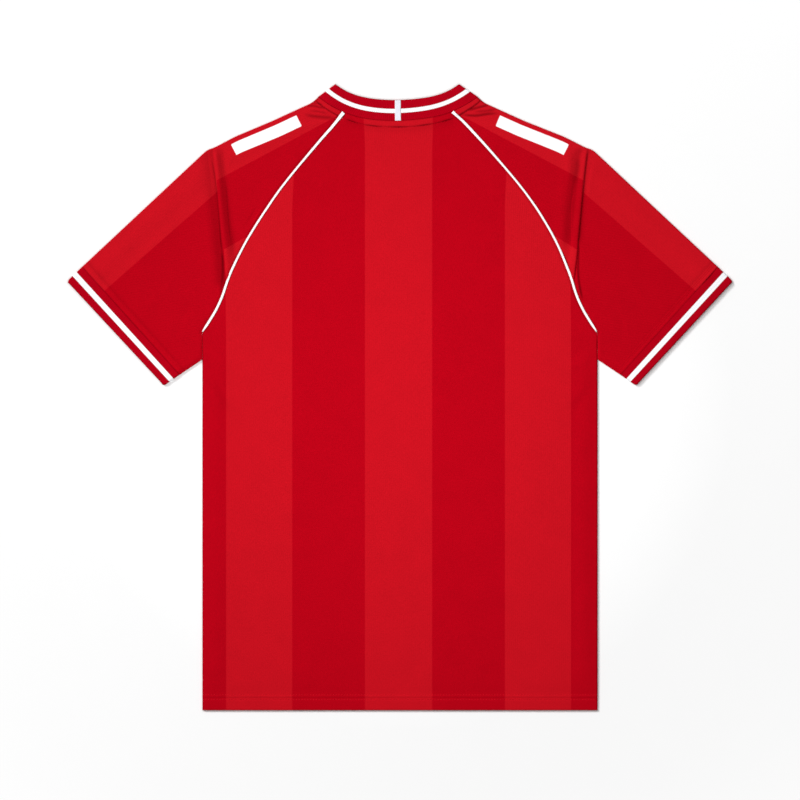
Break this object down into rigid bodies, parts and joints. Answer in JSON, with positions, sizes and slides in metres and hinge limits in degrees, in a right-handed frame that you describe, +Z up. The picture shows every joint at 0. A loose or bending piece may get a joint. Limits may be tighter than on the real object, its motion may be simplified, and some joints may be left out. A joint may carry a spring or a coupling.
{
  "type": "football jersey",
  "caption": "Short-sleeved raglan football jersey laid flat on its front, with rib crew collar, rib cuffs, piped seams and tonal stripes.",
  "frame": {"origin": "centre of the jersey's outline, on the surface that it lies on", "axes": "+X across the body from cuff to cuff, +Y towards the neck, +Z up out of the back"},
  "size_m": [0.7968, 0.7507, 0.0067],
  "materials": {
    "knit": "smooth polyester jersey knit with tonal stripes, slight sheen",
    "rib": "matte rib knit with white lines",
    "trim": "white piping and tape, satin polyester"
  },
  "bodies": {
    "root": {"back_panel": "knit", "front_panel": "knit", "sleeve_left": "knit", "sleeve_right": "knit", "collar": "rib", "cuff_left": "rib", "cuff_right": "rib", "piping_back_left": "trim", "piping_back_right": "trim", "piping_front_left": "trim", "piping_front_right": "trim", "nape_tape": "trim"}
  },
  "joints": []
}
